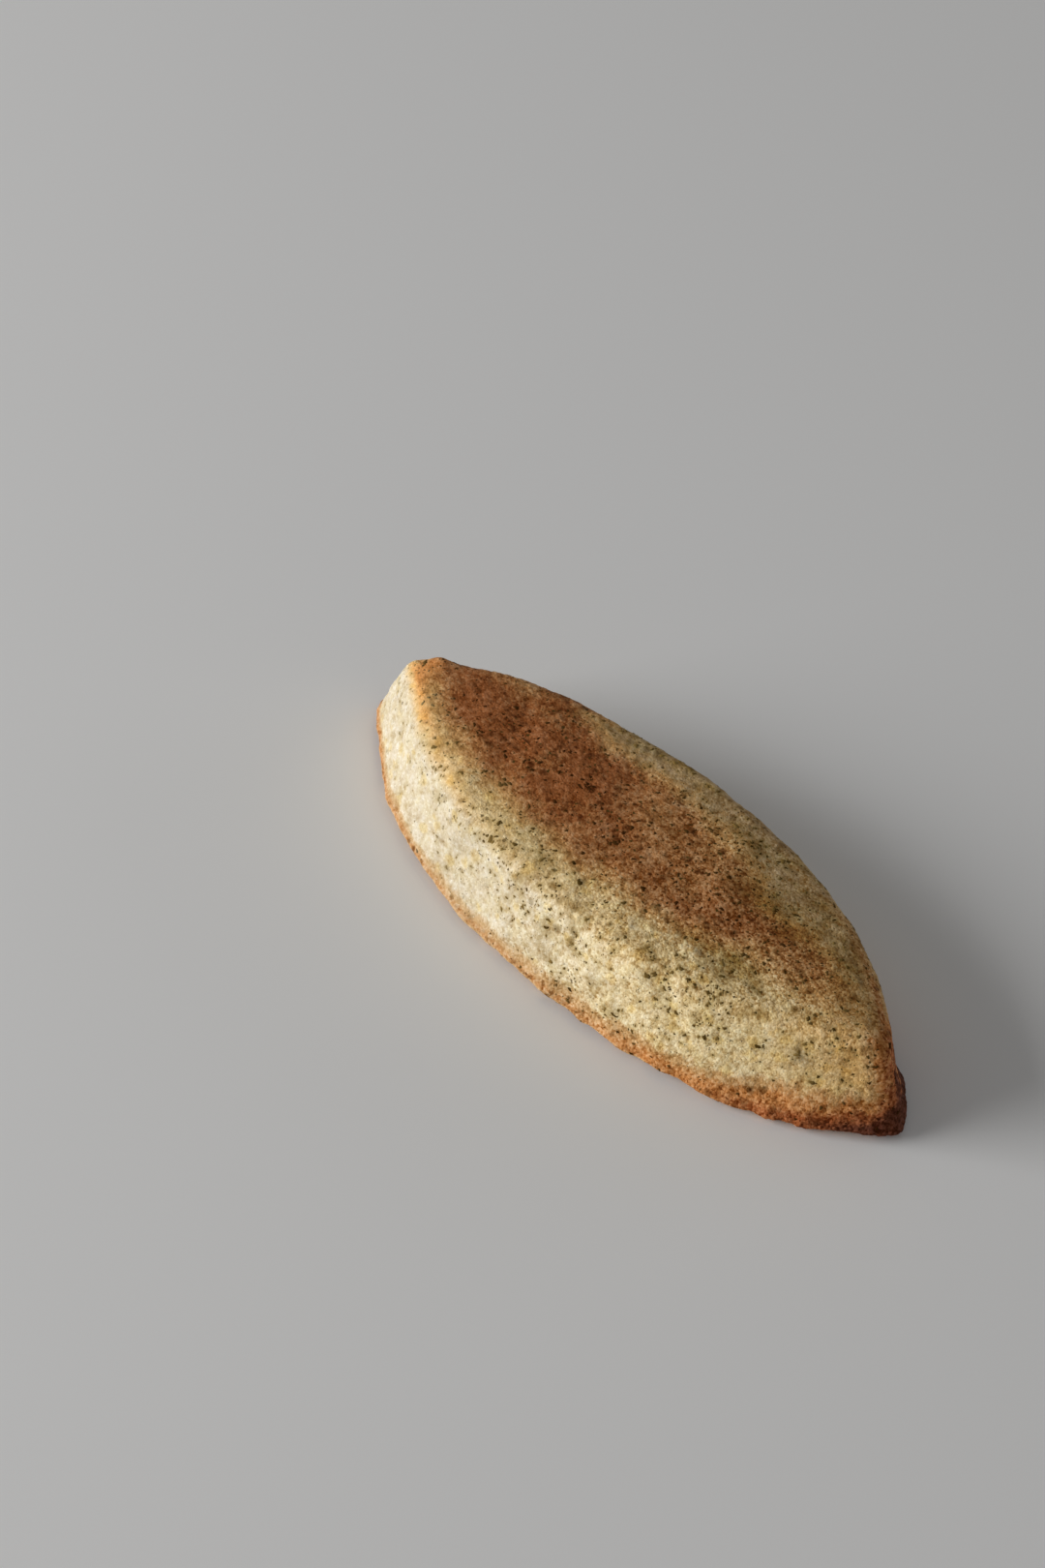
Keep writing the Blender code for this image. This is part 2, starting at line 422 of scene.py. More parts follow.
@dataclass(frozen=True)
class Browning:
    """Where the oven has browned the cake, as smooth masks of the place on it.

    The lines give edges, reaches and strengths along the length. Each mask's edge wavers by swells.
    """

    band_front: Line = (
        (-0.045, 0.0010), (-0.038, -0.0022), (-0.034, -0.0037), (-0.029, -0.0060), (-0.025, -0.0078),
        (-0.016, -0.0083), (-0.008, -0.0086), (0.000, -0.0080), (0.008, -0.0084), (0.013, -0.0072),
        (0.017, -0.0056), (0.0215, -0.0020), (0.0255, -0.0010), (0.031, -0.0022), (0.038, -0.0006),
    )
    band_back: Line = (
        (-0.045, 0.0220), (-0.030, 0.0180), (-0.0225, 0.0104), (-0.016, 0.0086), (-0.008, 0.0092),
        (0.002, 0.0098), (0.009, 0.0098), (0.014, 0.0066), (0.018, 0.0044), (0.024, 0.0046),
        (0.031, 0.0038), (0.038, 0.0020),
    )
    front_soft: Line = ((-0.016, 0.0070), (-0.004, 0.0092))
    back_soft: float = 0.0074
    band_fade: Line = (
        (-0.044, 0.74), (-0.034, 1.00), (-0.010, 1.04), (0.001, 0.96), (0.007, 0.84), (0.014, 0.90),
        (0.018, 0.92), (0.024, 0.94), (0.030, 0.80), (0.034, 0.60), (0.039, 0.22),
    )
    band_waver: Swells = (
        (0.0009, 0.0060, 61), (0.0008, 0.0026, 62), (0.0006, 0.0012, 63), (0.0004, 0.0006, 66),
    )
    band_patches: Swells = ((0.16, 0.0050, 67), (0.12, 0.0021, 68))
    rim_reach: Line = (
        (-0.050, 0.0026), (-0.030, 0.0024), (-0.015, 0.0030), (-0.004, 0.0037), (0.009, 0.0046),
        (0.019, 0.0052), (0.028, 0.0060), (0.035, 0.0070), (0.040, 0.0077), (0.045, 0.0086),
    )
    rim_strength: Line = (
        (-0.050, 0.60), (-0.030, 0.54), (-0.015, 0.50), (0.000, 0.51), (0.009, 0.53), (0.019, 0.64),
        (0.028, 0.72), (0.035, 0.88), (0.040, 0.98), (0.045, 1.22), (0.049, 1.50),
    )
    rim_waver: Swells = ((0.18, 0.0035, 64), (0.18, 0.0014, 65), (0.12, 0.0007, 69))
    back_line: Line = ((0.016, 0.0), (0.026, 0.30), (0.034, 0.48), (0.040, 0.62), (0.046, 0.80))
    back_width: float = 0.0017
    ridge_power: float = 1.6
    corner_climb: float = 0.0140
    gold_lift: float = 0.0005
    gold_widths: tuple[float, float] = (0.0015, 0.0034)
    gold_spread: float = 0.0016
    gold_strength: Line = (
        (-0.046, 1.00), (-0.040, 0.95), (-0.036, 0.82), (-0.028, 0.52), (-0.018, 0.10), (0.030, 0.05),
        (0.040, 0.50), (0.047, 0.90),
    )
    gold_waver: Swells = ((0.0006, 0.0030, 75), (0.0005, 0.0010, 76))
    knob_start: float = -0.0388
    knob_soft: float = 0.0034
    knob_strength: float = 0.80
    shade_patches: Swells = ((0.20, 0.0042, 73), (0.15, 0.0018, 74))

    def band(self, points: np.ndarray, climb: np.ndarray) -> np.ndarray:
        """Toasted band on the upper face: inside its two wavering edges, paler to the near end.

        The far part of the back corner is toasted too, in a narrow line of its own.

        Args:
            points: (..., 3) places.
            climb: distance up the side from the rim.

        Returns:
            0 on pale crumb to about 1 on the toasted face.
        """
        x, y, z = np.moveaxis(points, -1, 0)
        waver = Grain.mixed(points, self.band_waver)
        inner = y - along(self.band_front, x) + waver
        front = ease(inner / along(self.front_soft, x) + 0.5)
        back = ease((along(self.band_back, x) - y + waver) / self.back_soft + 0.5)
        far_back = 1.0 - 0.42 * rise(x, -0.024, -0.032) * rise(y, 0.0035, 0.0085)
        pale = 1.0 - 0.22 * rise(inner, 0.0045, 0.0095) * rise(x, -0.014, -0.002)
        strength = along(self.band_fade, x) + Grain.mixed(points, self.band_patches)
        edge = 0.85 * rise(x, -0.014, -0.026) * (1.0 - 0.45 * rise(x, -0.026, -0.034))
        edge = edge * bell((climb - 0.0138) / 0.0018) * (y > 0.0)
        return np.maximum(front * back * rise(z, 0.0108, 0.0134) * far_back * pale * strength, edge)

    def rim(self, points: np.ndarray, climb: np.ndarray) -> np.ndarray:
        """Browned rim, the line along the near part of the back corner and the ridge of the near tip.

        The foot fades from the rim to its reach up the side, and is a little darker where the ridge or
        the line meets it. The ridge runs up the near tip to the upper face and fades there.

        Args:
            points: (..., 3) places.
            climb: distance up the side from the rim.

        Returns:
            0 on pale crumb to about 2 on the darkest rim.
        """
        x, y = points[..., 0], points[..., 1]
        waver = 1.0 + Grain.mixed(points, self.rim_waver)
        fade = 1.0 - ease(climb / (along(self.rim_reach, x) * waver))
        # Painted shade: the rim is a little darker within 2 mm of its edge towards the near end, where it
        # meets the floor.
        contact_shade = 1.0 + 0.10 * rise(x, 0.022, 0.036) * rise(climb, 0.0020, 0.0)
        foot = along(self.rim_strength, x) * fade * contact_shade
        line = along(self.back_line, x) * bell((climb - self.corner_climb) / self.back_width)
        ridge = rise(x, 0.036, 0.043) * rise(y, -0.0034, -0.0004)
        ridge = ridge * (0.95 - 0.30 * rise(climb, 0.0, 0.014)) * rise(climb, 0.018, 0.014)
        back = np.maximum(line * (y > 0.0) * (0.85 + 0.15 * waver), ridge * waver ** self.ridge_power)
        return np.maximum(foot, back) + 0.5 * np.minimum(foot, back)

    def gold(self, points: np.ndarray, climb: np.ndarray) -> np.ndarray:
        """Golden line that follows the corner of the front, and a golden strip inside the near ridge.

        The line is strong at both ends and faint between, sharper below the corner than above it, and
        at the far end it is wider and a little higher up.

        Args:
            points: (..., 3) places.
            climb: distance up the side from the rim.

        Returns:
            0 on pale crumb to about 1 on the golden line.
        """
        x, y = points[..., 0], points[..., 1]
        waver = Grain.mixed(points, self.gold_waver)
        lifted = self.gold_lift * rise(x, -0.0415, -0.0385) * rise(x, -0.022, -0.028)
        off = climb - self.corner_climb - lifted + waver
        above = self.gold_widths[1] + self.gold_spread * rise(x, -0.024, -0.034)
        line = bell(off / np.where(off < 0.0, self.gold_widths[0], above))
        strip = bell((y + 0.0030 + waver) / 0.0018) * rise(climb, 0.003, 0.008)
        line = line * (y < 0.0) * along(self.gold_strength, x)
        return np.maximum(line, 0.55 * rise(x, 0.033, 0.039) * strip)

    def knob(self, points: np.ndarray, climb: np.ndarray) -> np.ndarray:
        """Orange crust round the knob on the far tip of the upper face, 0 away from it to 0.8 on it."""
        reach = self.knob_start - points[..., 0] + 0.0008 * Grain.swell(points, 0.0022, 78)
        return self.knob_strength * ease(reach / self.knob_soft) * rise(climb, 0.0132, 0.0150)

    def shade(self, points: np.ndarray) -> np.ndarray:
        """Duller, olive-tan crumb towards the back of the upper face and at its near end, partly the crumb's
        own tone and partly painted shade.

        Args:
            points: (..., 3) places.

        Returns:
            0 on bright crumb to 1 on the dullest.
        """
        x, y, z = np.moveaxis(points, -1, 0)
        patchy = Grain.mixed(points, self.shade_patches)
        # The tan is partly painted shade: it darkens the back margin and the near end of the upper face.
        back = rise(y + 0.004 * patchy, -0.001, 0.006) * (1.0 - 0.75 * rise(x, -0.021, -0.027))
        end = 0.95 * rise(x, 0.027, 0.033) * rise(y, -0.0045, 0.0)
        up = rise(z, 0.010, 0.014)
        behind = 0.10 * rise(y, 0.004, 0.010) * (1.0 - up)
        return np.clip(up * np.maximum(back, end) * (0.92 + patchy) + behind, 0.0, 1.0)


class Value:
    """Number, colour or place worked out by a shader node; plain arithmetic with it adds nodes."""

    def __init__(self, paint: Paint, socket: bpy.types.NodeSocket) -> None:
        """Hold one output socket of a node of the material in the making."""
        self.paint = paint
        self.socket = socket

    def __add__(self, other: object) -> Value:
        """Sum with a plain number or another value."""
        return self.paint.maths("ADD", self, other)

    def __sub__(self, other: object) -> Value:
        """Difference from a plain number or another value."""
        return self.paint.maths("SUBTRACT", self, other)

    def __mul__(self, other: object) -> Value:
        """Product with a plain number or another value."""
        return self.paint.maths("MULTIPLY", self, other)

    def most(self, other: object) -> Value:
        """The larger of this and a plain number or another value."""
        return self.paint.maths("MAXIMUM", self, other)

    def between(self, low: float, high: float, start: float = 0.0, stop: float = 1.0,
                kind: str = "SMOOTHSTEP") -> Value:
        """Step of the number from low to high, given out between start and stop."""
        sockets = {"Value": self, "From Min": low, "From Max": high, "To Min": start, "To Max": stop}
        return self.paint.value("ShaderNodeMapRange", sockets, interpolation_type=kind)


class Paint:
    """A shader's node tree with short ways to add nodes and join them.

    The sizes say how finely and how far a noise bends the specks, and how ragged and uneven they are.
    """

    swirl_rate: float = 2.2
    swirl_bend: float = 0.55
    ragged_size: float = 0.35
    ragged_depth: float = 1.3
    speck_uneven: float = 0.9

    def __init__(self, name: str) -> None:
        """Start a material with one plain shader.

        Args:
            name: the material's name.
        """
        self.material = bpy.data.materials.new(name)
        self.material.use_nodes = True
        self.tree = self.material.node_tree
        self.shader = self.tree.nodes["Principled BSDF"]
        self.place = self.value("ShaderNodeTexCoord", output="Object")

    def join(self, inlet: bpy.types.NodeSocket, value: object) -> None:
        """Link a value to an input socket, or set a plain number or colour on the socket itself.

        Args:
            inlet: the input socket.
            value: a Value, a number, or a colour of three numbers.
        """
        if isinstance(value, Value):
            self.tree.links.new(value.socket, inlet)
        elif isinstance(value, tuple):
            inlet.default_value = (*value, 1.0)
        else:
            inlet.default_value = value

    def node(self, kind: str, sockets: dict | None = None, **settings: str) -> bpy.types.Node:
        """Add a node, set its options and fill or join its input sockets.

        Args:
            kind: the node's type.
            sockets: input name or number to what join takes.
            settings: node options by name.

        Returns:
            The new node.
        """
        made = self.tree.nodes.new(kind)
        for key, value in settings.items():
            setattr(made, key, value)
        for key, value in (sockets or {}).items():
            self.join(made.inputs[key], value)
        return made

    def value(self, kind: str, sockets: dict | None = None, output: int | str = 0, **settings: str) -> Value:
        """Add a node as node does, and give one of its outputs as a value."""
        return Value(self, self.node(kind, sockets, **settings).outputs[output])

    def maths(self, operation: str, *parts: object) -> Value:
        """One arithmetic step on plain numbers or values."""
        return self.value("ShaderNodeMath", dict(enumerate(parts)), operation=operation)

    def vectors(self, operation: str, sockets: dict) -> Value:
        """One arithmetic step on places or colours."""
        return self.value("ShaderNodeVectorMath", sockets, operation=operation)

    def noise(self, size: float, detail: float = 2.0, rough: float = 0.5, output: str = "Fac") -> Value:
        """Noise with lumps of about the given size: Fac for a number from 0 to 1, Color for three."""
        sockets = {"Vector": self.place, "Scale": 1.0 / size, "Detail": detail, "Roughness": rough}
        return self.value("ShaderNodeTexNoise", sockets, output)

    def grains(self, size: float, place: Value | None = None) -> tuple[Value, list[Value]]:
        """Cells of about the given size, each with three random numbers of its own.

        Args:
            size: width of a cell.
            place: where the pattern is read; the place on the piece if none is given.

        Returns:
            Distance to the cell's heart, and its three random numbers.
        """
        cell = self.node("ShaderNodeTexVoronoi", {"Vector": place or self.place, "Scale": 1.0 / size}).outputs
        random = self.node("ShaderNodeSeparateColor", {0: Value(self, cell["Color"])}).outputs
        return Value(self, cell["Distance"]), [Value(self, part) for part in random]

    def mask(self, name: str) -> Value:
        """Number stored on the mesh's vertices under this name."""
        return self.value("ShaderNodeAttribute", output="Fac", attribute_name=name)

    def mix(self, share: object, first: object, second: object, blend: str = "MIX") -> Value:
        """Blend of two colours, each a plain colour or a value, with a share of the second."""
        sockets = {0: share, 6: first, 7: second}
        return self.value("ShaderNodeMix", sockets, 2, data_type="RGBA", blend_type=blend)

    def layers(self, colour: object, coats: tuple[tuple[object, object], ...], blend: str = "MIX") -> Value:
        """Coats laid over a colour one after another.

        Args:
            colour: the ground, a plain colour or a value.
            coats: share and colour of each coat, in order; a share given as a name is a mask.
            blend: how each coat is laid.

        Returns:
            The last coat's colour.
        """
        for share, coat in coats:
            colour = self.mix(self.mask(share) if isinstance(share, str) else share, colour, coat, blend)
        return colour

    def ramp(self, value: Value, stops: list[tuple[float, Colour]]) -> Value:
        """Colour that runs through the given stops as the number goes from 0 to 1.

        Args:
            value: the number.
            stops: place and colour of each stop, in order.

        Returns:
            The colour.
        """
        made = self.node("ShaderNodeValToRGB", {"Fac": value})
        line = made.color_ramp.elements
        while len(line) < len(stops):
            line.new(0.5)
        for element, (position, colour) in zip(line, stops):
            element.position = position
            element.color = (*colour, 1.0)
        return Value(self, made.outputs["Color"])

    def specks(self, size: float, reach: float, share: float, blur: float = 0.12) -> Value:
        """Specks: the hearts of a share of the cells of a pattern that a noise has bent out of round.

        Args:
            size: width of a cell.
            reach: radius of a speck, about, in cell widths.
            share: share of the cells that hold one.
            blur: width of a speck's soft edge, in cell widths.

        Returns:
            0 between the specks to 1 in them.
        """
        swirl = self.noise(size / self.swirl_rate, 1.0, output="Color")
        bend = self.vectors("SCALE", {0: swirl, "Scale": self.swirl_bend * size})
        away, random = self.grains(size, self.vectors("ADD", {0: self.place, 1: bend}))
        chosen = self.maths("LESS_THAN", random[1], share)
        ragged = self.noise(size * self.ragged_size, 1.0) * (reach * self.ragged_depth) + away
        edge = random[2] * (reach * self.speck_uneven) + reach * self.speck_uneven
        return chosen * (ragged - edge).between(blur, 0.0)

    def bump(self, height: Value, depth: float) -> None:
        """Lay fine relief from a height over the shader's normal.

        Args:
            height: the height, from 0 to 1.
            depth: what 1 stands for.
        """
        held = self.shader.inputs["Normal"]
        sockets = {"Height": height, "Distance": depth, "Strength": 1.0}
        if held.links:
            sockets["Normal"] = Value(self, held.links[0].from_socket)
        self.join(held, self.value("ShaderNodeBump", sockets))

    def finish(self, colour: object, roughness: object, specular: float) -> bpy.types.Material:
        """Join colour, roughness and specular level to the shader.

        Args:
            colour: a plain colour or a value.
            roughness: a plain number or a value.
            specular: the level, the same all over.

        Returns:
            The material.
        """
        sockets = {"Base Color": colour, "Roughness": roughness, "Specular IOR Level": specular}
        for key, value in sockets.items():
            self.join(self.shader.inputs[key], value)
        return self.material


@dataclass(frozen=True)
class CrumbFinish:
    """Dry almond crumb, each zone in its own middle colour under one salt-and-pepper grain."""

    cream: Colour = (0.76, 0.640, 0.420)
    warm_cream: Colour = (0.87, 0.665, 0.328)
    tip_cream: Colour = (0.795, 0.525, 0.205)
    straw: Colour = (0.92, 0.665, 0.300)
    tan: Colour = (0.460, 0.292, 0.126)
    pale_gold: Colour = (0.90, 0.50, 0.160)
    gold: Colour = (0.87, 0.405, 0.112)
    olive: Colour = (0.38, 0.26, 0.080)
    slate: Colour = (0.22, 0.175, 0.105)
    honey: Colour = (0.75, 0.43, 0.158)
    golden: Colour = (0.592, 0.287, 0.099)
    toast: Colour = (0.388, 0.131, 0.038)
    toast_near: Colour = (0.395, 0.146, 0.042)
    knob: Colour = (0.73, 0.285, 0.078)
    rim_gold: Colour = (0.66, 0.44, 0.22)
    rim_honey: Colour = (0.66, 0.375, 0.145)
    rim_orange: Colour = (0.66, 0.275, 0.082)
    rim_red: Colour = (0.44, 0.128, 0.036)
    rim_dark: Colour = (0.140, 0.038, 0.015)
    sunk_leaf: Colour = (0.36, 0.29, 0.155)
    toast_leaf: Colour = (0.38, 0.30, 0.16)
    leaf_dust: Colour = (0.096, 0.056, 0.010)
    dusk: Colour = (0.52, 0.43, 0.24)
    butter: Colour = (1.01, 0.94, 0.74)
    milk: Colour = (1.01, 1.02, 1.12)
    shadow_gain: Colour = (0.450, 0.345, 0.160)
    light_gain: Colour = (1.395, 1.585, 1.960)
    baked_shadow: Colour = (0.440, 0.290, 0.070)
    baked_light: Colour = (1.330, 1.600, 2.250)
    gain_scale: float = 2.30
    grain: float = 0.00036
    painted_glint: float = 0.00040
    cell_depth: float = 0.00006
    fine_depth: float = 0.00008
    specular: float = 0.10

    def zones(self, paint: Paint, lift: Value) -> Value:
        """Middle colour of each place, zone over zone, their borders broken up by the grain.

        Args:
            paint: the material in the making.
            lift: grain height around 0.5.

        Returns:
            The colour.
        """
        off = lift - 0.5
        gold = paint.mix(paint.mask("gold").between(0.50, 0.95), self.pale_gold, self.gold)
        # The tan coat is partly painted shade at the back and near end of the upper face.
        crumb = paint.layers(self.cream, (
            ("warm", self.warm_cream), ("straw", self.straw), ("tip", self.tip_cream), ("tan", self.tan),
            ("gold", gold), ("olive", self.olive), ("slate", self.slate), ("stain", self.olive),
        ))
        crumb = paint.layers(crumb, (
            (paint.noise(0.0016, 1.0).between(0.30, 0.70), self.milk),
            (paint.specks(0.0021, 0.26, 0.45, 0.35), self.butter),
        ), "MULTIPLY")
        baked = paint.mask("toast") - off * 0.30
        toast = paint.mix(paint.mask("warm").between(0.0, 0.5), self.toast, self.toast_near)
        crumb = paint.layers(crumb, (
            (baked.between(0.02, 0.32, kind="LINEAR"), self.honey),
            (baked.between(0.26, 0.62, kind="LINEAR"), self.golden),
            (baked.between(0.50, 0.98, kind="LINEAR"), toast),
            ("knob", self.knob),
        ))
        edge = paint.mask("rim") - off * 0.16
        rim_gold = paint.mix(paint.mask("warm"), self.rim_gold, self.rim_honey)
        return paint.layers(crumb, (
            (edge.between(0.04, 0.34), rim_gold), (edge.between(0.34, 0.66), self.rim_orange),
            (edge.between(0.66, 1.02), self.rim_red), (edge.between(1.00, 1.35), self.rim_dark),
        ))

    def gain(self, paint: Paint, lift: Value, shadow: Colour, light: Colour) -> Value:
        """Darkening of low and lightening of high grain, as a share of gain_scale.

        Args:
            paint: the material in the making.
            lift: grain height around 0.5.
            shadow: gain of the lowest grain.
            light: gain of the highest grain.

        Returns:
            The gain's three parts as a colour.
        """
        even = (1.0, 1.0, 1.0)
        stops = [(place, tuple(part / self.gain_scale for part in colour))
                 for place, colour in ((0.05, shadow), (0.5, even), (0.95, light))]
        return paint.ramp(lift, stops)

    def height(self, paint: Paint, random: Value, fine: Value, baked: Value) -> Value:
        """Height of the grain: random cells, noise in three sizes, painted glints, and painted shade in
        hollows with painted light on lumps.

        The grain is milder at the cool far end, and its lumps are larger on crust and on straw.

        Args:
            paint: the material in the making.
            random: a random number for each cell of the grain.
            fine: the finest noise.
            baked: how browned each place is.

        Returns:
            The height, around 0.5.
        """
        warm, straw = paint.mask("warm"), paint.mask("straw")
        crisp = warm * straw.most(paint.mask("rim"))
        plain = crisp * 0.45 + warm.between(0.0, 0.6, 0.45, 1.05)
        salt = ((fine - 0.5) * 0.66 + (random - 0.5) * 0.34) * (baked * 0.60 + plain)
        lumps = (paint.noise(0.0026, 2.0, 0.6) - 0.5) * 0.45 + (paint.noise(0.0008, 2.0, 0.6) - 0.5) * 0.60
        broken = straw * 0.50 + warm.between(0.0, 0.6, 0.80, 1.0)
        lift = salt + lumps * broken.most(baked.between(0.0, 0.8, 0.0, 1.9))
        # Painted highlights: a share of tiny specks is lifted brighter, as glints on the crumb.
        lift = paint.specks(self.painted_glint, 0.22, 0.24, 0.14) * 0.30 + lift
        # Painted shade in the relief's hollows and painted light on its lumps, read from the hollow mark.
        return paint.mask("hollow") * -0.12 + lift + 0.5

    def leaf(self, paint: Paint, colour: Value, baked: Value) -> Value:
        """Leaf under and in the surface: soft sunk blots, blots in the toast and dark dust.

        Args:
            paint: the material in the making.
            colour: the crumb's colour.
            baked: how browned each place is.

        Returns:
            The colour with the leaf on it.
        """
        leafy = paint.mask("leafy").between(0.10, 0.60, 0.15, 1.0)
        deep = baked.between(0.10, 0.50, 0.0, 0.80)
        colour = paint.layers(colour, (
            (paint.specks(0.0019, 0.20, 0.55, 0.30) * (leafy * 0.60), self.sunk_leaf),
            (paint.specks(0.0023, 0.16, 0.60, 0.22) * deep, self.toast_leaf),
            (paint.specks(0.0013, 0.17, 0.35, 0.22) * deep, self.toast_leaf),
        ), "MULTIPLY")
        colour = paint.layers(colour, (
            (paint.specks(0.0012, 0.15, 0.45, 0.10) * leafy, self.leaf_dust),
            (paint.specks(0.00065, 0.18, 0.30, 0.10) * leafy, self.leaf_dust),
        ))
        # The dusk coat is leaf under the surface, and over the near end of the upper face partly painted
        # shade.
        return paint.mix(paint.mask("dusk"), colour, self.dusk, "MULTIPLY")

    def make(self) -> bpy.types.Material:
        """Build the crumb material.

        Returns:
            The material, which reads all the marks that CakeBody.make and TeaFlecks.stain store.
        """
        paint = Paint("baked_crumb")
        away, (random, _, _) = paint.grains(self.grain)
        fine = paint.noise(0.00030, 2.0, 0.65)
        baked = paint.mask("toast").most(paint.mask("rim"))
        lift = self.height(paint, random, fine, baked)
        pale = self.gain(paint, lift, self.shadow_gain, self.light_gain)
        dark = self.gain(paint, lift, self.baked_shadow, self.baked_light)
        gain = paint.mix(baked.between(0.10, 0.70), pale, dark)
        colour = paint.mix(1.0, self.zones(paint, lift), gain, "MULTIPLY")
        colour = self.leaf(paint, paint.vectors("SCALE", {0: colour, "Scale": self.gain_scale}), baked)
        paint.bump(paint.maths("SUBTRACT", 1.0, away), self.cell_depth)
        paint.bump(fine, self.fine_depth)
        return paint.finish(colour, random.between(0.78, 1.0, 0.76, 0.46), self.specular)


@dataclass(frozen=True)
class FleckFinish:
    """Steeped tea leaf: from near black to olive, paler on the far slope and redder on the crust."""

    black: Colour = (0.062, 0.033, 0.004)
    olive: Colour = (0.27, 0.172, 0.050)
    faint: Colour = (0.43, 0.35, 0.195)
    baked: Colour = (0.062, 0.021, 0.004)
    crinkle_size: float = 0.00016
    crinkle_depth: float = 0.00003
    roughness: float = 0.80
    specular: float = 0.02

    def make(self) -> bpy.types.Material:
        """Build the fleck material.

        Returns:
            The material, which reads the marks shade, faint and baked.
        """
        paint = Paint("tea_leaf")
        coats = (("shade", self.olive), ("faint", self.faint), ("baked", self.baked))
        paint.bump(paint.noise(self.crinkle_size, 1.0), self.crinkle_depth)
        return paint.finish(paint.layers(self.black, coats), self.roughness, self.specular)


@dataclass(frozen=True)
class FloorFinish:
    """Plain pale studio floor."""

    pale: Colour = (0.86, 0.855, 0.845)
    roughness: float = 0.9
    specular: float = 0.15

    def make(self) -> bpy.types.Material:
        """Build the floor's plain material."""
        return Paint("pale_floor").finish(self.pale, self.roughness, self.specular)


def panels(grid: np.ndarray) -> np.ndarray:
    """Four corners, anticlockwise, of each panel between two rings and two stations of a closed grid."""
    after = np.roll(grid, -1, axis=1)
    return np.stack([grid[:-1], after[:-1], after[1:], grid[1:]], axis=2)


def put_mesh(name: str, points: np.ndarray, faces: np.ndarray, flat: np.ndarray | None = None,
             smooth: bool = True) -> bpy.types.Object:
    """Make an object of plain arrays.

    Args:
        name: the piece's name.
        points: (n, 3) vertices.
        faces: (m, 3 or 4) vertex numbers, anticlockwise from outside.
        flat: (m, 3 or 4, 2) places of the faces' corners on the flat sheet of the bake, if any.
        smooth: whether the faces are shaded smooth.

    Returns:
        The object, at the origin.
    """
    mesh = bpy.data.meshes.new(name)
    mesh.vertices.add(len(points))
    mesh.vertices.foreach_set("co", points.astype(np.float32).ravel())
    sides = faces.shape[1]
    mesh.loops.add(faces.size)
    mesh.loops.foreach_set("vertex_index", faces.astype(np.int32).ravel())
    mesh.polygons.add(len(faces))
    mesh.polygons.foreach_set("loop_start", np.arange(0, faces.size, sides, dtype=np.int32))
    mesh.polygons.foreach_set("use_smooth", np.full(len(faces), smooth))
    if flat is not None:
        mesh.uv_layers.new(name="OFBake").data.foreach_set("uv", flat.astype(np.float32).ravel())
    mesh.update(calc_edges=True)
    mesh.validate()
    piece = bpy.data.objects.new(name, mesh)
    bpy.context.collection.objects.link(piece)
    return piece


def mark(piece: bpy.types.Object, name: str, values: np.ndarray) -> None:
    """Store one number for each vertex of a piece under a name, for its finish to read."""
    layer = piece.data.attributes.new(name, "FLOAT", "POINT")
    layer.data.foreach_set("value", values.astype(np.float32))


def read(items: bpy.types.bpy_prop_collection, name: str, width: int = 1, kind: type = float) -> np.ndarray:
    """One property of all the vertices, corners, faces or marks of a mesh.

    Args:
        items: the vertices, corners, faces or marks.
        name: the property.
        width: how many numbers it holds.
        kind: what kind of numbers.

    Returns:
        (n,) numbers, or (n, width) where the width is more than 1.
    """
    values = np.empty(len(items) * width, dtype=kind)
    items.foreach_get(name, values)
    return values if width == 1 else values.reshape(-1, width)


